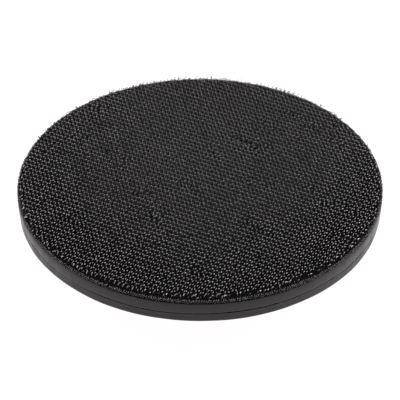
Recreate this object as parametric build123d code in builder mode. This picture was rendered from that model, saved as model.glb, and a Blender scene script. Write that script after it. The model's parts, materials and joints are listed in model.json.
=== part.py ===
from build123d import *

import os

# Hook-faced backing pad of an orbital sander, 125 mm across.
#
# A turned steel stud and a steel flange are riveted to a glass-fibre plate. The plate is
# moulded between a firm polyurethane shell, which is the back, and a soft polyurethane
# cushion, which is the working side. A woven hook tape is glued to the cushion, and the
# abrasive disc clings to its hooks.
#
# Frame: origin on the stud's axis, in the plane where the hub seats on the sander's spindle.
# +Z points through the pad to the hook face, and the stud points along -Z. Millimetres.

os.makedirs("parts", exist_ok=True)

# ---- driving dimensions -------------------------------------------------------------------
pad_radius = 62.5

# Thicknesses at the hub, stacked upwards from the seat at z = 0.
spacer_thickness = 0.8
collar_height = 4.0
flange_thickness = 2.0
plate_thickness = 1.8

# Thicknesses at the rim, stacked upwards from the lowest point of the rim.
rim_bottom_z = 3.6
shell_rim_height = 3.75
cushion_rim_height = 4.3
film_thickness = 0.35
tape_thickness = 0.7
tape_edge_radius = 0.2
hook_height = 1.95

# Walls of the rim, as distances inside pad_radius. The cushion is widest at one height.
cushion_top_inset = 0.1
cushion_bottom_inset = 0.2
cushion_widest_share = 0.7
shell_top_inset = 0.25
shell_bottom_inset = 0.4
shell_corner_radius = 1.0

# Radii of the round pieces.
tape_radius = pad_radius - 0.1
hook_field_radius = pad_radius - 0.2
film_radius = pad_radius - 0.5
plate_radius = 48.0
flange_radius = 21.0
flange_chamfer = 0.5
spacer_radius = 7.8
spacer_bore_radius = 4.1
spigot_radius = 5.5

# Stud, 5/16 inch: the cylinder at the thread's major diameter stands for the thread.
stud_radius = 7.9375 / 2
stud_length = 12.7
stud_tip_chamfer = 0.8
relief_radius = 3.3
collar_across_flats = 15.9
collar_chamfer = 0.4
stud_head_radius = 7.6
stud_head_height = 1.2
stud_head_chamfer = 0.8

# Rivets on one circle.
rivet_count = 6
rivet_circle_radius = 15.0
rivet_radius = 2.0
rivet_head_radius = 3.6
rivet_head_height = 1.5
rivet_head_edge = 0.3
rivet_roll_radius = 2.9
rivet_roll_height = 0.9
rivet_roll_chamfer = 0.5
burr_radius = 3.8
burr_thickness = 0.6

# Gap between the foam's pockets and the metal in them.
pocket_clearance = 0.1

# Moulded back of the shell.
hub_opening_radius = flange_radius + 0.3
hub_lip_z = rim_bottom_z - 0.7
hub_lip_outer_radius = 26.5
rib_count = 12
rib_width = 2.2
rib_bottom_z = rim_bottom_z - 1.1
rib_inner_radius = 25.5
rib_outer_radius = 54.0
rim_bead_radius = 54.0
rim_bead_width = 2.4
rim_bead_bottom_z = rim_bottom_z - 0.7
rib_root_z = rim_bottom_z + 0.4
rib_draft = 8

# ---- heights that follow from them --------------------------------------------------------
collar_z = spacer_thickness
flange_z = collar_z + collar_height
plate_z = flange_z + flange_thickness
plate_top_z = plate_z + plate_thickness
parting_z = rim_bottom_z + shell_rim_height
cushion_top_z = parting_z + cushion_rim_height
film_top_z = cushion_top_z + film_thickness
tape_top_z = film_top_z + tape_thickness

rivet_centres = [
    location.position for location in PolarLocations(rivet_circle_radius, rivet_count)
]


def save(part, name):
    """Labels a finished piece and writes its STEP file."""
    part.label = name
    export_step(part, f"parts/{name}.step")


# ---- hook face ----------------------------------------------------------------------------
# The space that the hooks fill, from the weave to the hook tips.
with BuildPart() as hook_pile:
    with BuildSketch(Plane.XY.offset(tape_top_z)):
        Circle(hook_field_radius)
    extrude(amount=hook_height)
save(hook_pile.part, "hook_pile")

# The woven tape that holds the hooks.
with BuildPart() as hook_tape:
    with BuildSketch(Plane.XY.offset(film_top_z)):
        Circle(tape_radius)
    extrude(amount=tape_thickness)
    fillet(hook_tape.edges().sort_by(Axis.Z)[-1], tape_edge_radius)
save(hook_tape.part, "hook_tape")

# The adhesive stops short of the edge, which leaves a dark line under the tape.
with BuildPart() as adhesive_film:
    with BuildSketch(Plane.XY.offset(cushion_top_z)):
        Circle(film_radius)
    extrude(amount=film_thickness)
save(adhesive_film.part, "adhesive_film")

# ---- moulded body -------------------------------------------------------------------------
# Soft cushion: its wall bulges and turns in towards the parting line.
cushion_wall_top = (pad_radius - cushion_top_inset, cushion_top_z)
cushion_wall_middle = (pad_radius, parting_z + cushion_widest_share * cushion_rim_height)
cushion_wall_bottom = (pad_radius - cushion_bottom_inset, parting_z)
with BuildPart() as foam_cushion:
    with BuildSketch(Plane.XZ):
        with BuildLine():
            Polyline(
                cushion_wall_bottom,
                (plate_radius, parting_z),
                (plate_radius, plate_top_z),
                (0, plate_top_z),
                (0, cushion_top_z),
                cushion_wall_top,
            )
            ThreePointArc(cushion_wall_top, cushion_wall_middle, cushion_wall_bottom)
        make_face()
    revolve(axis=Axis.Z)
    # Pockets that the foam forms over the stud's head and the rivets' rolled ends.
    with BuildSketch(Plane.XY.offset(plate_top_z)):
        Circle(stud_head_radius + pocket_clearance)
    extrude(amount=stud_head_height + pocket_clearance, mode=Mode.SUBTRACT)
    with BuildSketch(Plane.XY.offset(plate_top_z)):
        with PolarLocations(rivet_circle_radius, rivet_count):
            Circle(burr_radius + pocket_clearance)
    extrude(amount=burr_thickness + rivet_roll_height + pocket_clearance, mode=Mode.SUBTRACT)
save(foam_cushion.part, "foam_cushion")

# Firm shell: a lip round the hub, a shallow cone, and a rounded rim.
shell_wall_top = (pad_radius - shell_top_inset, parting_z)
shell_wall_bottom = (pad_radius - shell_bottom_inset, rim_bottom_z + shell_corner_radius)
shell_foot = (shell_wall_bottom[0] - shell_corner_radius, rim_bottom_z)
with BuildPart() as backing_shell:
    with BuildSketch(Plane.XZ):
        with BuildLine():
            Polyline(
                shell_wall_top,
                (plate_radius, parting_z),
                (plate_radius, plate_z),
                (hub_opening_radius, plate_z),
                (hub_opening_radius, hub_lip_z),
                (hub_lip_outer_radius, hub_lip_z),
                shell_foot,
            )
            RadiusArc(shell_foot, shell_wall_bottom, -shell_corner_radius)
            Line(shell_wall_bottom, shell_wall_top)
        make_face()
    revolve(axis=Axis.Z)
    # Radial ribs and a bead near the rim stiffen the back.
    with BuildSketch(Plane.XY.offset(rib_root_z)):
        with PolarLocations((rib_inner_radius + rib_outer_radius) / 2, rib_count):
            Rectangle(rib_outer_radius - rib_inner_radius, rib_width)
    extrude(amount=rib_bottom_z - rib_root_z, taper=rib_draft)
    with BuildSketch(Plane.XY.offset(rib_root_z)):
        Circle(rim_bead_radius + rim_bead_width / 2)
        Circle(rim_bead_radius - rim_bead_width / 2, mode=Mode.SUBTRACT)
    extrude(amount=rim_bead_bottom_z - rib_root_z)
save(backing_shell.part, "backing_shell")

# Glass-fibre plate, drilled for the rivets and the stud's spigot.
with BuildPart() as support_plate:
    with BuildSketch(Plane.XY.offset(plate_z)):
        Circle(plate_radius)
        Circle(spigot_radius, mode=Mode.SUBTRACT)
        with PolarLocations(rivet_circle_radius, rivet_count):
            Circle(rivet_radius, mode=Mode.SUBTRACT)
    extrude(amount=plate_thickness)
save(support_plate.part, "support_plate")

# ---- riveted hub --------------------------------------------------------------------------
with BuildPart() as hub_flange:
    with BuildSketch(Plane.XY.offset(flange_z)):
        Circle(flange_radius)
        Circle(spigot_radius, mode=Mode.SUBTRACT)
        with PolarLocations(rivet_circle_radius, rivet_count):
            Circle(rivet_radius, mode=Mode.SUBTRACT)
    extrude(amount=flange_thickness)
    circles = hub_flange.edges().filter_by(GeomType.CIRCLE)
    chamfer(circles.group_by(Axis.Z)[0].sort_by(SortBy.RADIUS)[-1], flange_chamfer)
save(hub_flange.part, "hub_flange")

# Stud: threaded shank, hexagonal collar, and a spigot swaged over the plate.
with BuildPart() as stud:
    with BuildSketch(Plane.XZ):
        with BuildLine():
            Polyline(
                (0, -stud_length),
                (stud_radius - stud_tip_chamfer, -stud_length),
                (stud_radius, stud_tip_chamfer - stud_length),
                (stud_radius, 0),
                (relief_radius, 0),
                (relief_radius, collar_z),
                (spigot_radius, collar_z),
                (spigot_radius, plate_top_z),
                (stud_head_radius, plate_top_z),
                (stud_head_radius - stud_head_chamfer, plate_top_z + stud_head_height),
                (0, plate_top_z + stud_head_height),
                close=True,
            )
        make_face()
    revolve(axis=Axis.Z)
    with BuildSketch(Plane.XY.offset(collar_z)):
        RegularPolygon(collar_across_flats / 2, 6, major_radius=False)
    extrude(amount=collar_height)
    hexagon_edges = stud.edges().filter_by(GeomType.LINE).filter_by(Plane.XY)
    chamfer(hexagon_edges.group_by(Axis.Z)[0], collar_chamfer)
save(stud.part, "stud")

with BuildPart() as spacer_washer:
    with BuildSketch(Plane.XY):
        Circle(spacer_radius)
        Circle(spacer_bore_radius, mode=Mode.SUBTRACT)
    extrude(amount=spacer_thickness)
save(spacer_washer.part, "spacer_washer")

# Semi-tubular rivets: domed head under the flange, rolled end over a washer on the plate.
burr_top_z = plate_top_z + burr_thickness
for number, centre in enumerate(rivet_centres, start=1):
    rivet_plane = Plane(origin=centre, x_dir=(1, 0, 0), z_dir=(0, -1, 0))
    with BuildPart() as rivet:
        with BuildSketch(rivet_plane):
            with BuildLine():
                Polyline(
                    (0, flange_z - rivet_head_height),
                    (0, burr_top_z + rivet_roll_height),
                    (rivet_roll_radius - rivet_roll_chamfer, burr_top_z + rivet_roll_height),
                    (rivet_roll_radius, burr_top_z),
                    (rivet_radius, burr_top_z),
                    (rivet_radius, flange_z),
                    (rivet_head_radius, flange_z),
                    (rivet_head_radius, flange_z - rivet_head_edge),
                )
                TangentArc(
                    (0, flange_z - rivet_head_height),
                    (rivet_head_radius, flange_z - rivet_head_edge),
                    tangent=(1, 0),
                )
            make_face()
        revolve(axis=Axis(centre, (0, 0, 1)))
    save(rivet.part, f"rivet_{number}")

    with BuildPart() as rivet_burr:
        with BuildSketch(Plane(origin=centre).offset(plate_top_z)):
            Circle(burr_radius)
            Circle(rivet_radius, mode=Mode.SUBTRACT)
        extrude(amount=burr_thickness)
    save(rivet_burr.part, f"rivet_burr_{number}")
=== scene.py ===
import json
import math

import bpy
import numpy as np
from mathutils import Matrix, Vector


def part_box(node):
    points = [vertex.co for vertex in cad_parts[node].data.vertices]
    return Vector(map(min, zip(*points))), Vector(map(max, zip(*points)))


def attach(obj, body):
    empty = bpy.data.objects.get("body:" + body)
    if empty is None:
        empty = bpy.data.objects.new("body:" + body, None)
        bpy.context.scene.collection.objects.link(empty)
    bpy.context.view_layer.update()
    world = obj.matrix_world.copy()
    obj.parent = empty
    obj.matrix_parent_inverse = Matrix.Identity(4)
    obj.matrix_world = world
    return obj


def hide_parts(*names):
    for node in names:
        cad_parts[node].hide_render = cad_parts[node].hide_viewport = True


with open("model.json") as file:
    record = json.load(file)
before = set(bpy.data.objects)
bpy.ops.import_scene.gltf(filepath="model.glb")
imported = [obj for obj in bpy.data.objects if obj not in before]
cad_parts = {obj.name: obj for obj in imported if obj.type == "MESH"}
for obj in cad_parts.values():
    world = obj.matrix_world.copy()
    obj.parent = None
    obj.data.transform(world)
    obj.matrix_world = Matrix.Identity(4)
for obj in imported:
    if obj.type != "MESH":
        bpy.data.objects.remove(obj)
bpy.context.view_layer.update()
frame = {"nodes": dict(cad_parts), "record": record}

# Sizes are in metres, worked out from the frame. MM turns millimetres into metres.
MM = 0.001
random = np.random.default_rng(20)


# ---- sizes read from the frame --------------------------------------------------------------
def low(node):
    """The lowest corner of a CAD node's box."""
    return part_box(node)[0]


def high(node):
    """The highest corner of a CAD node's box."""
    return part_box(node)[1]


pad_radius = high("foam_cushion").x
tape_radius = high("hook_tape").x
film_radius = high("adhesive_film").x
plate_radius = high("support_plate").x
flange_radius = high("hub_flange").x
stud_radius = frame["record"]["mounts"][0]["dims"]["r_mm"] * MM

stud_tip_z = low("stud").z
plate_z = low("support_plate").z
plate_top_z = high("support_plate").z
parting_z = low("foam_cushion").z
cushion_top_z = high("foam_cushion").z
film_top_z = high("adhesive_film").z
tape_top_z = high("hook_tape").z
hook_top_z = high("hook_pile").z
rivet_end_z = high("rivet_1").z
rib_z = low("backing_shell").z

# How far the ribs and the hub's lip stand below the rim.
RIB_DEPTH = 1.1 * MM
LIP_DEPTH = 0.7 * MM
rim_bottom_z = rib_z + RIB_DEPTH
lip_z = rim_bottom_z - LIP_DEPTH

# ---- sizes of the weave and the hooks -------------------------------------------------------
# The weave repeats along the warp and the weft. Two hooks stand in each of its cells, facing
# opposite ways.
WARP_ANGLE = math.radians(59.7)
WEFT_ANGLE = math.radians(-28.7)
WARP_PITCH = 1.962 * MM
WEFT_PITCH = 1.69 * MM
SECOND_HOOK = (0.57, -0.5)  # where the second hook stands from the first, in pitches
FACING = math.radians(54)  # which way the first hook faces
STRAND_RADIUS = 0.13 * MM
STRAND_SIDES = 6
CROWN_REACH = 0.45 * MM  # how far ahead of the hook's place its crown is highest

# Bands at the tape's edge: hooks are loosened in the first and mostly pressed down in the
# second, and none has its place or its crown in the third.
LOOSE_BAND = 1.5 * MM
PRESSED_BAND = 1.1 * MM
BARE_BAND = 0.3 * MM
PRESSED_SHARE = 0.85  # of the hooks in the second band
MISSING_SHARE = 0.06  # of the hooks in the first band
PUSHED_RUNS = 30  # short runs of pushed-over hooks, all over the face

# The hooks of each kind are spread over this many pieces, to keep each piece's mesh small.
HOOK_PIECES = 4

# ---- camera ---------------------------------------------------------------------------------
# A long lens in front of the pad looks down at the hook face.
CAMERA_ELEVATION = math.radians(37.55)
CAMERA_DISTANCE = 12.5 * pad_radius
CAMERA_LENS = 205.05
CAMERA_SENSOR_WIDTH = 36
CAMERA_AIM_DOWN = 5.15 * MM

back = Vector((0, -math.cos(CAMERA_ELEVATION), math.sin(CAMERA_ELEVATION)))
up = Vector((0, math.sin(CAMERA_ELEVATION), math.cos(CAMERA_ELEVATION)))
face_centre = Vector((0, 0, film_top_z))
camera = bpy.data.objects.new("camera", bpy.data.cameras.new("camera"))
bpy.context.scene.collection.objects.link(camera)
camera.data.lens = CAMERA_LENS
camera.data.sensor_width = CAMERA_SENSOR_WIDTH
camera.location = face_centre + back * CAMERA_DISTANCE
aim = face_centre - up * CAMERA_AIM_DOWN
camera.rotation_mode = "QUATERNION"
camera.rotation_quaternion = (aim - camera.location).to_track_quat("-Z", "Y")
camera.data.clip_start = 0.05
camera.data.clip_end = 20
bpy.context.scene.camera = camera


# ---- materials ------------------------------------------------------------------------------
def warm(value):
    """The faintly reddish black of all the plastics."""
    return (value, 0.92 * value, 0.945 * value)


# Painted light on a hook at heights from the weave, 0, to the hook tips, 1: painted shade low in
# the pile and a painted highlight on the crowns. Hooks that face away from the camera get the
# painted highlight all along their crowns, and the others only at their highest point.
PAINTED_LIGHT_ALONG_CROWN = [(0.79, 0.002), (0.87, 0.12), (0.95, 0.34)]
PAINTED_LIGHT_AT_TOP = [(0.9, 0.002), (0.95, 0.35), (0.99, 0.75)]
# How much lower the painted highlight begins on the hooks that are pressed down at the tape's
# edge.
PRESSED_DROP = 0.2


class Nodes:
    """A new material's node tree, with short calls for the nodes that this scene uses."""

    def __init__(self, name):
        self.material = bpy.data.materials.new(name)
        self.material.use_nodes = True
        self.tree = self.material.node_tree
        self.shader = self.tree.nodes["Principled BSDF"]
        self.place = self.tree.nodes.new("ShaderNodeTexCoord").outputs["Object"]

    def link(self, source, target):
        """Joins an output socket to an input socket."""
        self.tree.links.new(source, target)

    def noise(self, scale, detail=3, stretch=None):
        """Cloudy noise, with about scale clouds to the metre."""
        node = self.tree.nodes.new("ShaderNodeTexNoise")
        node.inputs["Scale"].default_value = scale
        node.inputs["Detail"].default_value = detail
        self.link(self.stretched(stretch), node.inputs["Vector"])
        return node.outputs["Fac"]

    def stretched(self, stretch, turn=0):
        """The place on the object, scaled along each axis and turned about Z."""
        if stretch is None and not turn:
            return self.place
        node = self.tree.nodes.new("ShaderNodeMapping")
        node.inputs["Scale"].default_value = stretch or (1, 1, 1)
        node.inputs["Rotation"].default_value = (0, 0, turn)
        self.link(self.place, node.inputs["Vector"])
        return node.outputs["Vector"]

    def wave(self, wavelength, turn=0, axis="X", distortion=0.0, rings=False):
        """Stripes across an axis, or rings about Z, one to each wavelength."""
        node = self.tree.nodes.new("ShaderNodeTexWave")
        node.wave_type = "RINGS" if rings else "BANDS"
        if rings:
            node.rings_direction = "Z"
        else:
            node.bands_direction = axis
        node.inputs["Scale"].default_value = math.tau / 20 / wavelength
        node.inputs["Distortion"].default_value = distortion
        self.link(self.stretched(None, turn), node.inputs["Vector"])
        return node.outputs["Fac"]

    def ramp(self, source, stops):
        """Maps source through (position, value or colour) stops."""
        node = self.tree.nodes.new("ShaderNodeValToRGB")
        elements = node.color_ramp.elements
        while len(elements) < len(stops):
            elements.new(0.5)
        for element, (position, value) in zip(elements, stops):
            element.position = position
            rgb = value if isinstance(value, tuple) else (value,) * 3
            element.color = (*rgb, 1)
        self.link(source, node.inputs["Fac"])
        return node.outputs["Color"]

    def span_ramp(self, value, start, end, stops):
        """Maps a length from start to end through stops."""
        span = self.tree.nodes.new("ShaderNodeMapRange")
        span.inputs["From Min"].default_value = start
        span.inputs["From Max"].default_value = end
        self.link(value, span.inputs["Value"])
        return self.ramp(span.outputs["Result"], stops)

    def height_ramp(self, start, end, stops):
        """Maps the height above the frame's origin."""
        split = self.tree.nodes.new("ShaderNodeSeparateXYZ")
        self.link(self.place, split.inputs["Vector"])
        return self.span_ramp(split.outputs["Z"], start, end, stops)

    def radius_ramp(self, start, end, stops):
        """Maps the distance from the stud's axis."""
        flat = self.tree.nodes.new("ShaderNodeVectorMath")
        flat.operation = "MULTIPLY"
        flat.inputs[1].default_value = (1, 1, 0)
        self.link(self.place, flat.inputs[0])
        size = self.tree.nodes.new("ShaderNodeVectorMath")
        size.operation = "LENGTH"
        self.link(flat.outputs["Vector"], size.inputs[0])
        return self.span_ramp(size.outputs["Value"], start, end, stops)

    def mix(self, kind, one, other, amount=1.0):
        """Blends two colours. The amount is a number or a socket."""
        node = self.tree.nodes.new("ShaderNodeMix")
        node.data_type = "RGBA"
        node.blend_type = kind
        if isinstance(amount, float):
            node.inputs["Factor"].default_value = amount
        else:
            self.link(amount, node.inputs["Factor"])
        self.link(one, node.inputs["A"])
        self.link(other, node.inputs["B"])
        return node.outputs["Result"]

    def colour(self, source):
        """Gives the shader its base colour."""
        self.link(source, self.shader.inputs["Base Color"])

    def roughness(self, source):
        """Gives the shader its roughness."""
        self.link(source, self.shader.inputs["Roughness"])

    def bump(self, source, height):
        """Adds one layer of relief, height metres deep, over the layers before it."""
        node = self.tree.nodes.new("ShaderNodeBump")
        node.inputs["Distance"].default_value = height
        self.link(source, node.inputs["Height"])
        normal = self.shader.inputs["Normal"]
        if normal.is_linked:
            self.link(normal.links[0].from_socket, node.inputs["Normal"])
        self.link(node.outputs["Normal"], normal)

    def set(self, **values):
        """Sets shader inputs, named with _ for each space, to constant values."""
        for name, value in values.items():
            self.shader.inputs[name.replace("_", " ")].default_value = value


def nylon_hooks(name, painted_light_stops):
    """Black nylon with painted shade deep in the pile and a painted highlight on the crowns."""
    n = Nodes(name)
    stops = [(at, warm(pale)) for at, pale in painted_light_stops]
    low_stops = [(at - PRESSED_DROP, colour) for at, colour in stops]
    # Painted shade low on each hook and a painted highlight on its crown, lower on pressed hooks.
    upright = n.height_ramp(tape_top_z, hook_top_z, stops)
    strands = n.noise(1300, 2)
    pressed = n.height_ramp(tape_top_z, hook_top_z, low_stops)
    band = tape_radius - PRESSED_BAND
    at_rim = n.radius_ramp(band - 0.2 * MM, band, [(0.0, 0.0), (1.0, 1.0)])
    shade = n.mix("MIX", upright, pressed, at_rim)
    n.colour(n.mix("MULTIPLY", shade, n.ramp(strands, [(0.3, 0.8), (0.7, 1.0)])))
    n.roughness(n.ramp(strands, [(0.3, 0.3), (0.7, 0.45)]))
    n.bump(n.noise(9000, 2), 0.012 * MM)
    n.set(IOR=1.5, Specular_IOR_Level=0.3)
    return n.material


def weave_in_painted_shade():
    """Black weave between the hooks, made near-black as painted shade deep in the pile."""
    n = Nodes("weave_in_painted_shade")
    warp = n.wave(WARP_PITCH / 4, turn=-WARP_ANGLE, axis="X")
    weft = n.wave(WEFT_PITCH / 4, turn=-WARP_ANGLE, axis="Y")
    weave = n.mix("MULTIPLY", warp, weft)
    # Near-black: the nylon's own black darkened further as painted shade of the pile's depth.
    n.colour(n.ramp(weave, [(0.0, 0.0005), (0.8, 0.002)]))
    n.roughness(n.ramp(n.noise(2500, 3), [(0.3, 0.55), (0.7, 0.8)]))
    n.bump(weave, 0.1 * MM)
    n.set(Specular_IOR_Level=0.05)
    return n.material


def cut_fibres():
    """Nylon that looks paler where it is cut."""
    n = Nodes("cut_fibres")
    n.colour(n.ramp(n.noise(1600, 2), [(0.3, warm(0.08)), (0.7, warm(0.2))]))
    n.roughness(n.ramp(n.noise(3500, 2), [(0.3, 0.45), (0.7, 0.7)]))
    n.bump(n.noise(7000, 2), 0.02 * MM)
    return n.material


def dried_glue():
    """Black glue, uneven and half glossy."""
    n = Nodes("dried_glue")
    n.colour(n.ramp(n.noise(900, 3), [(0.3, 0.003), (0.7, 0.008)]))
    n.roughness(n.ramp(n.noise(1500, 3), [(0.3, 0.4), (0.7, 0.75)]))
    n.bump(n.noise(2600, 3), 0.05 * MM)
    return n.material


def polyurethane(name, dark, pale, smooth, rough):
    """Moulded black skin: faint clouds, upright draw marks, fine grain and rubbed spots."""
    n = Nodes(name)
    clouds = n.noise(130, 4)
    marks = n.noise(420, 3, stretch=(1, 1, 0.12))
    grain = n.noise(5200, 2)
    rubbed = n.ramp(n.noise(310, 5, stretch=(1, 1, 2.2)), [(0.66, 0.0), (0.74, 1.0)])
    skin = n.mix("MULTIPLY", n.ramp(clouds, [(0.3, warm(dark)), (0.7, warm(pale))]),
                 n.ramp(marks, [(0.3, 0.75), (0.7, 1.0)]))
    n.colour(n.mix("ADD", skin, n.ramp(rubbed, [(0.0, 0.0), (1.0, warm(0.03))])))
    n.roughness(n.mix("ADD", n.ramp(marks, [(0.3, smooth), (0.7, rough)]),
                      n.ramp(rubbed, [(0.0, 0.0), (1.0, 0.12)])))
    n.bump(marks, 0.035 * MM)
    n.bump(grain, 0.008 * MM)
    n.set(IOR=1.41)
    return n.material


def glass_laminate():
    n = Nodes("glass_laminate")
    yarn = 1.6 * MM
    weave = n.mix("MULTIPLY", n.wave(yarn, axis="X"), n.wave(yarn, axis="Y"))
    n.colour(n.ramp(weave, [(0.1, (0.13, 0.15, 0.08)), (0.8, (0.24, 0.26, 0.16))]))
    n.roughness(n.ramp(n.noise(800, 3), [(0.3, 0.4), (0.7, 0.6)]))
    n.bump(weave, 0.05 * MM)
    return n.material


def zinc(name, ring_width, tint, dull):
    """Zinc-plated steel with tool rings, faint spangle and scratches."""
    n = Nodes(name)
    clouds = n.noise(260, 4)
    rings = n.wave(ring_width, rings=True, distortion=0.3)
    n.colour(n.ramp(clouds, [(0.3, tuple(0.78 * c for c in tint)), (0.7, tint)]))
    n.roughness(n.ramp(n.mix("MULTIPLY", rings, clouds), [(0.1, dull), (0.6, dull + 0.16)]))
    n.bump(rings, 0.01 * MM)
    n.bump(n.noise(1800, 4, stretch=(1, 6, 1)), 0.01 * MM)
    n.set(Metallic=1.0)
    return n.material


def red_fibre():
    """Matt red vulcanised fibre."""
    n = Nodes("red_fibre")
    n.colour(n.ramp(n.noise(1500, 4), [(0.3, (0.16, 0.028, 0.018)), (0.7, (0.3, 0.06, 0.035))]))
    n.roughness(n.ramp(n.noise(900, 3), [(0.3, 0.5), (0.7, 0.7)]))
    n.bump(n.noise(4200, 3), 0.03 * MM)
    return n.material


# ---- mesh helpers ---------------------------------------------------------------------------
def add_piece(name, points, quads, triangles, material, replaces=()):
    """Makes a smooth-shaded mesh piece that rides on the one body."""
    quads = np.asarray(quads, np.int32).reshape(-1, 4)
    triangles = np.asarray(triangles, np.int32).reshape(-1, 3)
    mesh = bpy.data.meshes.new(name)
    mesh.vertices.add(len(points))
    mesh.vertices.foreach_set("co", np.asarray(points, np.float32).ravel())
    corners = np.concatenate([quads.ravel(), triangles.ravel()])
    counts = np.concatenate([np.full(len(quads), 4), np.full(len(triangles), 3)])
    starts = np.concatenate([[0], np.cumsum(counts)[:-1]])
    mesh.loops.add(len(corners))
    mesh.loops.foreach_set("vertex_index", corners.astype(np.int32))
    mesh.polygons.add(len(counts))
    mesh.polygons.foreach_set("loop_start", starts.astype(np.int32))
    mesh.polygons.foreach_set("use_smooth", np.full(len(counts), True))
    mesh.update(calc_edges=True)
    mesh.validate()
    mesh.materials.append(material)
    piece = bpy.data.objects.new(name, mesh)
    bpy.context.scene.collection.objects.link(piece)
    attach(piece, "root")
    if replaces:
        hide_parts(*replaces)
    return piece


def add_copies(name, points, shape, material, replaces=()):
    """Makes one piece of many copies of a shape, from their points, one copy after another."""
    one, quads, triangles = shape
    first = np.arange(0, len(points), len(one))[:, None, None]
    add_piece(name, points, quads + first, triangles + first, material, replaces)


# Profiles that are turned about Z start this far from it, so that their loops stay open there.
CORE_RADIUS = 0.4 * MM


def revolve_loop(profile, segments, shift):
    """Turns a closed profile of (radius, z) about Z. shift(radius, z, angle) moves its points."""
    profile = np.asarray(profile, float)
    count = len(profile)
    angle = np.arange(segments) * math.tau / segments
    radius = np.repeat(profile[None, :, 0], segments, 0)
    z = np.repeat(profile[None, :, 1], segments, 0)
    turn = np.repeat(angle[:, None], count, 1)
    radius, z = shift(radius, z, turn)
    points = np.stack([radius * np.cos(turn), radius * np.sin(turn), z], -1).reshape(-1, 3)
    i, j = np.meshgrid(np.arange(segments), np.arange(count), indexing="ij")
    i2, j2 = (i + 1) % segments, (j + 1) % count
    quads = np.stack([i * count + j, i2 * count + j, i2 * count + j2, i * count + j2], -1)
    return points, quads.reshape(-1, 4)


def ripple(angle, seed, waves, height=1.0):
    """A smooth random line round the rim, about -height to height, from waves per turn."""
    draw = np.random.default_rng(seed)
    line = np.zeros_like(angle)
    for k in waves:
        share = draw.normal() / math.sqrt(len(waves))
        line += share * np.cos(k * angle + draw.uniform(0, math.tau))
    return line * height * 0.7


def smooth_step(x, start, end):
    """Rises smoothly from 0 at start to 1 at end."""
    t = np.clip((x - start) / (end - start), 0, 1)
    return t * t * (3 - 2 * t)


def blend(x, middle, reach):
    """Rises smoothly from 0 to 1 about middle, reach to each side of it."""
    return smooth_step(x, middle - reach, middle + reach)


def arc_points(centre, radius, start, end, count):
    """count points along an arc between two angles in degrees."""
    angle = np.radians(np.linspace(start, end, count))
    return [(centre[0] + radius * math.cos(a), centre[1] + radius * math.sin(a)) for a in angle]


def line_points(start, end, count):
    """count points from start up to, not with, end."""
    t = np.arange(count)[:, None] / count
    return [tuple(p) for p in np.asarray(start) * (1 - t) + np.asarray(end) * t]


# ---- hook field -----------------------------------------------------------------------------
def tube(path, radius, sides):
    """Points of a tube along a path in the XZ plane, ring by ring, and its faces."""
    path = np.asarray(path, float)
    along = np.gradient(path, axis=0)
    along /= np.linalg.norm(along, axis=1)[:, None]
    across = np.stack([along[:, 1], -along[:, 0]], -1)
    angle = np.arange(sides) * math.tau / sides
    ring = np.stack([np.cos(angle), np.sin(angle)], -1) * radius
    points = np.zeros((len(path), sides, 3))
    points[:, :, 0] = path[:, None, 0] + ring[None, :, 0] * across[:, None, 0]
    points[:, :, 2] = path[:, None, 1] + ring[None, :, 0] * across[:, None, 1]
    points[:, :, 1] = ring[None, :, 1]
    i, j = np.meshgrid(np.arange(len(path) - 1), np.arange(sides), indexing="ij")
    j2 = (j + 1) % sides
    quads = np.stack([i * sides + j, i * sides + j2, (i + 1) * sides + j2, (i + 1) * sides + j], -1)
    last = (len(path) - 1) * sides
    start_cap = [(0, k + 1, k) for k in range(1, sides - 1)]
    end_cap = [(last, last + k, last + k + 1) for k in range(1, sides - 1)]
    return points.reshape(-1, 3), quads.reshape(-1, 4), np.array(start_cap + end_cap)


def join(parts):
    """Joins several (points, quads, triangles) into one."""
    starts = np.cumsum([0] + [len(p) for p, _, _ in parts])
    return (
        np.concatenate([p for p, _, _ in parts]),
        np.concatenate([q + start for (_, q, _), start in zip(parts, starts)]),
        np.concatenate([t + start for (_, _, t), start in zip(parts, starts)]),
    )


def hook_shape():
    """One hook, with its crown rising along X, and the stub of its cut-off side."""
    top = hook_top_z - tape_top_z - STRAND_RADIUS
    leg = [(-0.5, -0.3 - top / MM), (-0.5, -0.9), (-0.46, -0.6), (-0.34, -0.42)]
    crown = [(-0.1, -0.27), (0.14, -0.13), (0.34, 0.0)]
    end = [(0.5, -0.03), (0.61, -0.17), (0.62, -0.36), (0.54, -0.52)]
    path = [(x * MM, top + z * MM) for x, z in leg + crown + end]
    stub = [(0.42 * MM, -0.3 * MM), (0.44 * MM, 0.1 * top), (0.48 * MM, 0.26 * top)]
    return join([tube(line, STRAND_RADIUS, STRAND_SIDES) for line in (path, stub)])


def weave_lattice():
    """The two hook places of every cell: which of the two each is, and its x and y."""
    count = int(1.2 * pad_radius / WEFT_PITCH)
    i, j = np.meshgrid(np.arange(-count, count + 1), np.arange(-count, count + 1))
    second = np.repeat([0, 1], i.size)
    along = (np.tile(i.ravel(), 2) + SECOND_HOOK[0] * second) * WARP_PITCH
    across = (np.tile(j.ravel(), 2) + SECOND_HOOK[1] * second) * WEFT_PITCH
    x = along * math.cos(WARP_ANGLE) + across * math.cos(WEFT_ANGLE)
    y = along * math.sin(WARP_ANGLE) + across * math.sin(WEFT_ANGLE)
    inside = np.hypot(x, y) < pad_radius
    return second[inside], x[inside], y[inside]


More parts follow.
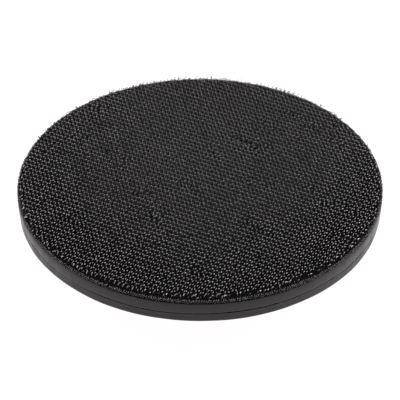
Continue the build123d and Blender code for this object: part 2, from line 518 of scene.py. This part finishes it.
def push_over_runs(x, y, facing, lean, tall):
    """Pushes short runs of hooks over."""
    for _ in range(PUSHED_RUNS):
        r, a = pad_radius * math.sqrt(random.uniform(0, 0.95)), random.uniform(0, math.tau)
        length = random.uniform(1.5, 6) * MM
        turn = WEFT_ANGLE + random.normal(0, 0.3)
        dx, dy = x - r * math.cos(a), y - r * math.sin(a)
        s = dx * math.cos(turn) + dy * math.sin(turn)
        t = -dx * math.sin(turn) + dy * math.cos(turn)
        bent = (np.abs(s) < length) & (np.abs(t) < random.uniform(0.6, 1.2) * MM)
        push = random.uniform(-0.3, 0.3, 2)
        lean[bent] += push + random.normal(0, 0.1, (bent.sum(), 2))
        facing[bent] += random.normal(0, 0.25, bent.sum())
        tall[bent] *= 1 + 0.5 * (push ** 2).sum()


def loosen_rim(x, y, facing, lean, tall):
    """Splays and presses down the hooks at the cut edge. Returns which hooks are still there."""
    count = len(x)
    radius = np.hypot(x, y)
    rim = radius > tape_radius - LOOSE_BAND
    outward = np.stack([x, y], -1) / radius[:, None].clip(1e-6)
    splay = random.uniform(-0.2, 0.2, count) * rim
    lean += outward * splay[:, None]
    facing += rim * random.normal(0, 0.3, count)
    chosen = random.uniform(0, 1, count) < PRESSED_SHARE
    pressed = (radius > tape_radius - PRESSED_BAND) & chosen
    tall[pressed] *= random.uniform(0.68, 0.86, pressed.sum())
    crown = np.hypot(x + CROWN_REACH * np.cos(facing), y + CROWN_REACH * np.sin(facing))
    kept = np.maximum(crown, radius) < tape_radius - BARE_BAND
    return kept & ~(rim & (random.uniform(0, 1, count) < MISSING_SHARE))


def hook_places():
    """Which kind each hook is, and where it stands, faces and leans, and how tall it is."""
    second, x, y = weave_lattice()
    count = len(x)
    # The weave is a little out of true, and so is each hook.
    drift, jitter = 0.16 * MM, 0.03 * MM
    x += drift * np.sin(y / (11 * MM) + 1.0) + random.normal(0, jitter, count)
    y += drift * np.sin(x / (13 * MM) + 0.5) + random.normal(0, jitter, count)
    facing = FACING + math.pi * second + random.normal(0, math.radians(5), count)
    lean = random.normal(0, 0.035, (count, 2))
    tall = 1 + random.normal(0, 0.02, count)
    push_over_runs(x, y, facing, lean, tall)
    kept = loosen_rim(x, y, facing, lean, tall)
    return second[kept], (x[kept], y[kept], facing[kept], lean[kept], tall[kept])


def stand(points, x, y, facing, lean, tall):
    """Puts a copy of a shape on the weave at each place. What is below the weave doesn't lean."""
    c, s = np.cos(facing)[:, None], np.sin(facing)[:, None]
    z = points[None, :, 2] * tall[:, None]
    px = x[:, None] + points[None, :, 0] * c - points[None, :, 1] * s
    py = y[:, None] + points[None, :, 0] * s + points[None, :, 1] * c
    slant = np.sqrt(1 + (lean ** 2).sum(1))[:, None]
    risen = np.maximum(z, 0) / slant
    px += risen * lean[:, :1]
    py += risen * lean[:, 1:]
    z = np.where(z > 0, risen, z) + tape_top_z
    return np.stack([px, py, z], -1).reshape(-1, 3)


def make_hooks():
    """Both kinds of hook, each in pieces like slices of a cake."""
    second, places = hook_places()
    order = np.argsort(np.arctan2(places[1], places[0]), kind="stable")
    shape = hook_shape()
    kinds = [("hooks_away", PAINTED_LIGHT_ALONG_CROWN), ("hooks_near", PAINTED_LIGHT_AT_TOP)]
    for kind, (name, painted_light_stops) in enumerate(kinds):
        material = nylon_hooks(name, painted_light_stops)
        row = order[second[order] == kind]
        for number, chosen in enumerate(np.array_split(row, HOOK_PIECES), start=1):
            placed = stand(shape[0], *(values[chosen] for values in places))
            add_copies(f"{name}_{number}", placed, shape, material, ["hook_pile"])


# ---- tape and glue --------------------------------------------------------------------------
def make_tape():
    """The woven ground: ribbed between the hook rows, with an unevenly cut edge."""
    edge = 0.12 * MM
    rings = np.arange(CORE_RADIUS, tape_radius - 0.4 * MM, 0.8 * MM)
    profile = [(r, tape_top_z) for r in rings]
    profile += arc_points((tape_radius - edge, tape_top_z - edge), edge, 90, 0, 4)
    profile += [(tape_radius, (film_top_z + tape_top_z) / 2), (tape_radius, film_top_z)]
    profile += [(r, film_top_z) for r in (tape_radius - 1 * MM, plate_radius, CORE_RADIUS)]

    def shift(radius, z, angle):
        x, y = radius * np.cos(angle), radius * np.sin(angle)
        along = x * math.cos(WARP_ANGLE) + y * math.sin(WARP_ANGLE)
        across = -x * math.sin(WARP_ANGLE) + y * math.cos(WARP_ANGLE)
        ribs = np.cos(math.tau * across / WEFT_PITCH) + np.cos(math.tau * along / WARP_PITCH)
        upper = z > tape_top_z - 0.05 * MM
        outer = smooth_step(radius, tape_radius - 0.6 * MM, tape_radius)
        frayed = ripple(angle, 5, waves=(7, 19, 41, 67, 97, 143, 211)) * 0.12 * MM
        return radius + outer * (frayed - 0.05 * MM), z + upper * (ribs - 1) * 0.05 * MM

    points, quads = revolve_loop(profile, 720, shift)
    tape = add_piece("hook_ground", points, quads, [], weave_in_painted_shade(), ["hook_tape"])


FIBRE_COUNT = 2000
FIBRE_LAYERS = 4
FIBRE_RADIUS = 0.1 * MM
FIBRE_SIDES = 5


def make_cut_fibres():
    """Ends of the weft that stand out of the tape's cut edge, in layers."""
    fibre = [(-0.5 * MM, 0), (0.1 * MM, 0), (0.3 * MM, 0)]
    shape = tube(fibre, FIBRE_RADIUS, FIBRE_SIDES)
    one = shape[0]
    count = FIBRE_COUNT
    angle = np.arange(count) * math.tau / count + random.normal(0, 0.0015, count)
    layer = np.arange(count) % FIBRE_LAYERS
    z = film_top_z + (0.12 + 0.23 * layer) * MM + random.normal(0, 0.04 * MM, count)
    out = tape_radius + random.normal(-0.12 * MM, 0.1 * MM, count)
    turn = angle + random.normal(0, 0.45, count)
    droop = random.normal(0.1, 0.25, count)
    long = random.uniform(0.5, 1.25, count)
    along = one[None, :, 0] * long[:, None]
    c, s = np.cos(turn)[:, None], np.sin(turn)[:, None]
    px = (out * np.cos(angle))[:, None] + along * c - one[None, :, 1] * s
    py = (out * np.sin(angle))[:, None] + along * s + one[None, :, 1] * c
    pz = z[:, None] + one[None, :, 2] - np.maximum(along, 0) * droop[:, None]
    points = np.stack([px, py, pz], -1).reshape(-1, 3)
    add_copies("tape_cut_fibres", points, shape, cut_fibres())


def make_glue():
    """The film stops unevenly short of the edge, and squeezes out here and there."""
    profile = [(CORE_RADIUS, cushion_top_z), (plate_radius, cushion_top_z)]
    profile += [(film_radius - 0.2 * MM, cushion_top_z), (film_radius, cushion_top_z + 0.1 * MM)]
    profile += [(film_radius, film_top_z - 0.1 * MM), (film_radius - 0.2 * MM, film_top_z)]
    profile += [(plate_radius, film_top_z), (CORE_RADIUS, film_top_z)]

    def shift(radius, z, angle):
        outer = smooth_step(radius, plate_radius, film_radius - 0.3 * MM)
        edge = ripple(angle, 11, waves=(5, 13, 29, 47, 71, 113, 167)) * 0.45 * MM - 0.1 * MM
        return radius + outer * np.minimum(edge, 0.4 * MM), z

    points, quads = revolve_loop(profile, 720, shift)
    add_piece("glue_line", points, quads, [], dried_glue(), ["adhesive_film"])


# ---- moulded body ---------------------------------------------------------------------------
def parting_wave(angle):
    """How the parting line rises and falls round the rim."""
    return ripple(angle, 3, waves=(2, 3, 5, 11, 17, 31), height=0.1 * MM)


def make_cushion():
    """Soft upper moulding: crisp top edge, and a wall that turns in at the parting line."""
    wall_top = cushion_top_z
    wall_height = wall_top - parting_z
    t = np.linspace(0, 1, 26)
    # The wall draws in gently below its widest height, again just above the parting line, and a
    # little at its top.
    turned_in = 0.18 * np.clip(1 - t / 0.7, 0, 1) ** 2 + 0.16 * np.clip(1 - t / 0.1, 0, 1) ** 2
    radii = pad_radius - (turned_in + 0.08 * smooth_step(t, 0.8, 1.0)) * MM
    wall = [(r, parting_z + 0.06 * MM + k * (wall_height - 0.2 * MM)) for r, k in zip(radii, t)]
    pocket = flange_radius - 1.8 * MM
    pocket_z = rivet_end_z + 0.1 * MM
    profile = wall
    profile += arc_points((pad_radius - 0.32 * MM, wall_top - 0.2 * MM), 0.2 * MM, 30, 90, 3)
    profile += [(r, wall_top) for r in (film_radius - 1 * MM, plate_radius, pocket, CORE_RADIUS)]
    profile += [(CORE_RADIUS, pocket_z), (pocket, pocket_z), (pocket, plate_top_z)]
    profile += [(plate_radius, plate_top_z), (plate_radius, parting_z)]
    profile += [(r, parting_z) for r in (plate_radius + 4 * MM, pad_radius - 3 * MM)]
    profile += [(pad_radius - 1.0 * MM, parting_z)]

    def shift(radius, z, angle):
        outer = smooth_step(radius, pad_radius - 3 * MM, pad_radius - 1 * MM)
        height = (z - parting_z) / wall_height
        low_edge = outer * (1 - smooth_step(height, 0.0, 0.35))
        swell = ripple(angle, 7, waves=(2, 5, 9, 16, 27), height=0.07 * MM)
        dents = ripple(angle, 8, waves=(31, 47, 73, 97, 131), height=0.02 * MM)
        return radius + outer * (swell + dents), z + low_edge * parting_wave(angle)

    points, quads = revolve_loop(profile, 1200, shift)
    material = polyurethane("soft_polyurethane", 0.004, 0.008, 0.30, 0.42)
    cushion = add_piece("cushion", points, quads, [], material,
                        ["foam_cushion"])


# Ribs and bead on the shell's back, each with its radii and how softly it begins and ends.
RIB_COUNT = 12
RIB_HALF_WIDTH, RIB_SIDE_BLEND = 1.05 * MM, 0.3 * MM
RIB_INNER, RIB_INNER_BLEND = 26 * MM, 1.0 * MM
RIB_OUTER, RIB_OUTER_BLEND = 54 * MM, 0.6 * MM
BEAD_INNER, BEAD_OUTER, BEAD_BLEND = 52.8 * MM, 55.2 * MM, 0.4 * MM


def make_shell():
    """Firm lower moulding: rim, shallow cone with ribs and a bead, and a lip round the hub."""
    bore = flange_radius + 0.3 * MM
    lip_outer = 26.5 * MM
    corner = 1.0 * MM
    wall_low = (pad_radius - 0.4 * MM, rim_bottom_z + corner)
    wall_high = (pad_radius - 0.3 * MM, parting_z - 0.24 * MM)
    rim_inner = wall_low[0] - corner
    soft = 0.35 * MM
    edge = 0.18 * MM
    top = parting_z - 0.06 * MM
    profile = arc_points((bore + soft, lip_z + soft), soft, 180, 270, 5)
    profile += line_points((bore + soft + 0.4 * MM, lip_z), (lip_outer, lip_z), 7)
    profile += line_points((lip_outer, lip_z), (rim_inner, rim_bottom_z), 46)
    profile += arc_points((rim_inner, wall_low[1]), corner, 270, 350, 8)
    profile += line_points(wall_low, wall_high, 9)
    profile += arc_points((wall_high[0] - edge, wall_high[1]), edge, 0, 90, 6)
    profile += [(r, top) for r in (pad_radius - 1.0 * MM, plate_radius + 4 * MM, plate_radius)]
    profile += [(plate_radius, plate_z), (bore + 3 * MM, plate_z), (bore, plate_z)]

    def shift(radius, z, angle):
        under = smooth_step(-z, -(rim_bottom_z + 1.2 * MM), -(rim_bottom_z + 0.4 * MM))
        step = math.tau / RIB_COUNT
        from_rib = np.abs((angle + step / 2) % step - step / 2) * radius
        rib = 1 - blend(from_rib, RIB_HALF_WIDTH, RIB_SIDE_BLEND)
        rib *= blend(radius, RIB_INNER, RIB_INNER_BLEND)
        rib *= 1 - blend(radius, RIB_OUTER, RIB_OUTER_BLEND)
        bead = blend(radius, BEAD_INNER, BEAD_BLEND)
        bead *= 1 - blend(radius, BEAD_OUTER, BEAD_BLEND)
        face = radius < rim_inner
        z = np.where(face, z + under * rib * (rib_z - z), z)
        z = np.where(face, z + under * np.maximum(bead - rib, 0) * (lip_z - z), z)
        outer = smooth_step(radius, pad_radius - 3 * MM, pad_radius - 1 * MM)
        high_edge = outer * blend(z, parting_z - 0.8 * MM, 0.4 * MM)
        swell = ripple(angle, 17, waves=(2, 4, 9, 15, 25), height=0.08 * MM)
        flash = np.maximum(ripple(angle, 19, waves=(19, 37, 53, 83, 119, 151)), -0.1) + 0.1
        radius = radius + outer * swell + high_edge * flash * 0.16 * MM
        return radius, z + high_edge * parting_wave(angle)

    points, quads = revolve_loop(profile, 960, shift)
    material = polyurethane("firm_polyurethane", 0.004, 0.008, 0.33, 0.46)
    add_piece("shell", points, quads, [], material, ["backing_shell"])


# Crumbs of flash: from and to which angle round the rim, in degrees, and how many.
FLASH_CRUMBS = [(0, 360, 26), (206, 226, 16), (284, 322, 34)]


def crumb_shape():
    """A rough ball of unit radius with small flat ends: its points, quads and triangles."""
    rings, sides, end_angle = 5, 8, 0.15
    polar = np.linspace(end_angle, math.pi - end_angle, rings)
    around = np.arange(sides) * math.tau / sides
    x, y = np.outer(np.sin(polar), np.cos(around)), np.outer(np.sin(polar), np.sin(around))
    z = np.repeat(np.cos(polar)[:, None], sides, 1)
    i, j = np.meshgrid(np.arange(rings - 1), np.arange(sides), indexing="ij")
    j2 = (j + 1) % sides
    below = (i + 1) * sides
    quads = np.stack([i * sides + j, below + j, below + j2, i * sides + j2], -1)
    last = (rings - 1) * sides
    top = [(0, k, k + 1) for k in range(1, sides - 1)]
    bottom = [(last, last + k + 1, last + k) for k in range(1, sides - 1)]
    return np.stack([x, y, z], -1).reshape(-1, 3), quads.reshape(-1, 4), np.array(top + bottom)


def flash_painted_highlight():
    """Flash made pale all over: a painted highlight of the light its crumbs catch."""
    n = Nodes("flash_painted_highlight")
    # Pale colour: painted highlight on the crumbs.
    n.colour(n.ramp(n.noise(2500, 2), [(0.3, warm(0.06)), (0.7, warm(0.3))]))
    n.roughness(n.ramp(n.noise(3500, 2), [(0.3, 0.5), (0.7, 0.8)]))
    return n.material


def make_flash():
    """Crumbs of flash left along the parting line."""
    angle = np.radians(np.concatenate([random.uniform(a, b, k) for a, b, k in FLASH_CRUMBS]))
    count = len(angle)
    size = random.uniform(0.08, 0.22, (count, 3)) * MM
    size[:, 1] *= random.uniform(1.0, 3.0, count)
    shape = crumb_shape()
    ball = shape[0]
    lumps = ball[None] * size[:, None, :] * random.uniform(0.7, 1.2, (count, len(ball), 1))
    c, s = np.cos(angle)[:, None], np.sin(angle)[:, None]
    out = pad_radius - random.uniform(0.35, 0.6, count)[:, None] * MM
    z = parting_z - random.uniform(0.2, 0.75, count)[:, None] * MM
    px = out * c + lumps[:, :, 0] * c - lumps[:, :, 1] * s
    py = out * s + lumps[:, :, 0] * s + lumps[:, :, 1] * c
    points = np.stack([px, py, z + lumps[:, :, 2]], -1).reshape(-1, 3)
    add_copies("parting_flash", points, shape, flash_painted_highlight())


# ---- hub ------------------------------------------------------------------------------------
THREAD_PITCH = 25.4 / 24 * MM
THREAD_DEPTH = 0.61 * THREAD_PITCH
STUD_SIDES = 96
STUD_SPIGOT_RADIUS = 5.5 * MM
STUD_HEAD_RADIUS = 7.6 * MM
STUD_HEAD_HEIGHT = 1.2 * MM
STUD_SHARP_ANGLE = math.radians(35)


def make_stud():
    """Threaded shank, hexagonal collar and swaged head, in one piece."""
    collar_z, flange_z = high("spacer_washer").z, low("hub_flange").z
    flat = high("stud").y
    sides, step = STUD_SIDES, THREAD_PITCH / 16
    heights = np.arange(stud_tip_z, 0.0, step)
    angle = np.arange(sides) * math.tau / sides
    z, turn = np.meshgrid(heights, angle)
    phase = ((z / THREAD_PITCH - turn / math.tau) % 1.0 - 0.5) * 2
    crest = np.clip((1 - np.abs(phase)) * 1.25 - 0.1, 0, 1)
    radius = stud_radius - THREAD_DEPTH * (1 - crest)
    point = stud_radius - 0.9 * MM + (z - stud_tip_z)
    radius = np.minimum(radius, point)
    runout = smooth_step(z, -1.2 * THREAD_PITCH, 0.0)
    radius = radius * (1 - runout) + (stud_radius - THREAD_DEPTH) * runout
    shank = np.stack([radius * np.cos(turn), radius * np.sin(turn), z], -1)

    # Upper rings: relief, hexagon with chamfered corners, spigot and swaged head.
    def ring(z, size, hexagon=False):
        r = np.full(sides, size)
        if hexagon:
            from_flat = (angle + math.pi / 6) % (math.pi / 3) - math.pi / 6
            r = np.minimum(size, flat / np.cos(from_flat))
        return np.stack([r * np.cos(angle), r * np.sin(angle), np.full(sides, z)], -1)[:, None]

    relief = stud_radius - THREAD_DEPTH
    corner = flat / math.cos(math.pi / 6)
    spigot, head = STUD_SPIGOT_RADIUS, STUD_HEAD_RADIUS
    rings = [ring(0.0, relief), ring(collar_z, relief), ring(collar_z, flat - 0.5 * MM)]
    rings += [ring(collar_z + 0.06 * MM, flat - 0.2 * MM)]
    rings += [ring(collar_z + 0.5 * MM, corner, True), ring(flange_z - 0.3 * MM, corner, True)]
    rings += [ring(flange_z, corner - 0.3 * MM, True)]
    rings += [ring(flange_z, spigot), ring(plate_top_z, spigot)]
    rings += [ring(plate_top_z, head), ring(plate_top_z + STUD_HEAD_HEIGHT, head - 0.8 * MM)]
    grid = np.concatenate([shank] + rings, 1)
    count = grid.shape[1]
    i, j = np.meshgrid(np.arange(sides), np.arange(count - 1), indexing="ij")
    i2 = (i + 1) % sides
    quads = np.stack([i * count + j, i2 * count + j, i2 * count + j + 1, i * count + j + 1], -1)
    last = count - 1
    ends = [(0, (k + 1) * count, k * count) for k in range(1, sides - 1)]
    ends += [(last, k * count + last, (k + 1) * count + last) for k in range(1, sides - 1)]
    stud = add_piece("threaded_stud", grid.reshape(-1, 3), quads.reshape(-1, 4), ends,
                     zinc("stud_zinc", 0.3 * MM, (0.6, 0.6, 0.62), 0.24), ["stud"])
    stud.data.set_sharp_from_angle(angle=STUD_SHARP_ANGLE)


def dress_cad_nodes():
    """Gives the metal and plate nodes that stay as they are their finish."""
    finish = {
        "support_plate": glass_laminate(),
        "hub_flange": zinc("flange_zinc", 0.45 * MM, (0.62, 0.62, 0.63), 0.28),
        "spacer_washer": red_fibre(),
    }
    rivet_metal = zinc("rivet_zinc", 0.5 * MM, (0.58, 0.58, 0.6), 0.22)
    for name, node in frame["nodes"].items():
        material = rivet_metal if name.startswith("rivet") else finish.get(name)
        if material:
            for slot in node.material_slots:
                slot.link = "OBJECT"
                slot.material = material


# ---- build ----------------------------------------------------------------------------------
make_hooks()
make_tape()
make_cut_fibres()
make_glue()
make_cushion()
make_shell()
make_flash()
make_stud()
dress_cad_nodes()

# ---- floor and light ------------------------------------------------------------------------
FLOOR_REACH = 3.0
corners = [(-FLOOR_REACH, -FLOOR_REACH), (FLOOR_REACH, -FLOOR_REACH)]
corners += [(FLOOR_REACH, FLOOR_REACH), (-FLOOR_REACH, FLOOR_REACH)]
floor_mesh = bpy.data.meshes.new("floor")
floor_mesh.from_pydata([(x, y, stud_tip_z) for x, y in corners], [], [(0, 1, 2, 3)])
floor = bpy.data.objects.new("floor", floor_mesh)
bpy.context.scene.collection.objects.link(floor)
paper = Nodes("paper")
paper.colour(paper.ramp(paper.noise(30, 2), [(0.3, 0.14), (0.7, 0.15)]))
paper.set(Roughness=0.9, Emission_Color=(1, 0.94, 0.955, 1), Emission_Strength=1.04)
floor_mesh.materials.append(paper.material)

world = bpy.data.worlds.new("studio")
bpy.context.scene.world = world
world.use_nodes = True
background = world.node_tree.nodes["Background"]
background.inputs["Color"].default_value = (1, 1, 1, 1)
background.inputs["Strength"].default_value = 0.15


def softbox(name, place, size, radiance):
    """A square light that faces the object, as bright all over as radiance says."""
    light = bpy.data.lights.new(name, "AREA")
    light.shape = "SQUARE"
    light.size = size
    light.energy = radiance * math.pi * size ** 2
    box = bpy.data.objects.new(name, light)
    box.location = place
    box.rotation_mode = "QUATERNION"
    box.rotation_quaternion = Vector(place).to_track_quat("Z", "Y")
    bpy.context.scene.collection.objects.link(box)


softbox("softbox_back", (0.45, 0.85, 1.0), 0.7, 16)
softbox("softbox_left", (-0.9, 0.2, 1.0), 0.6, 8)
softbox("softbox_right", (1.0, 0.1, 0.9), 0.6, 8)

bpy.context.scene.view_settings.view_transform = "Standard"
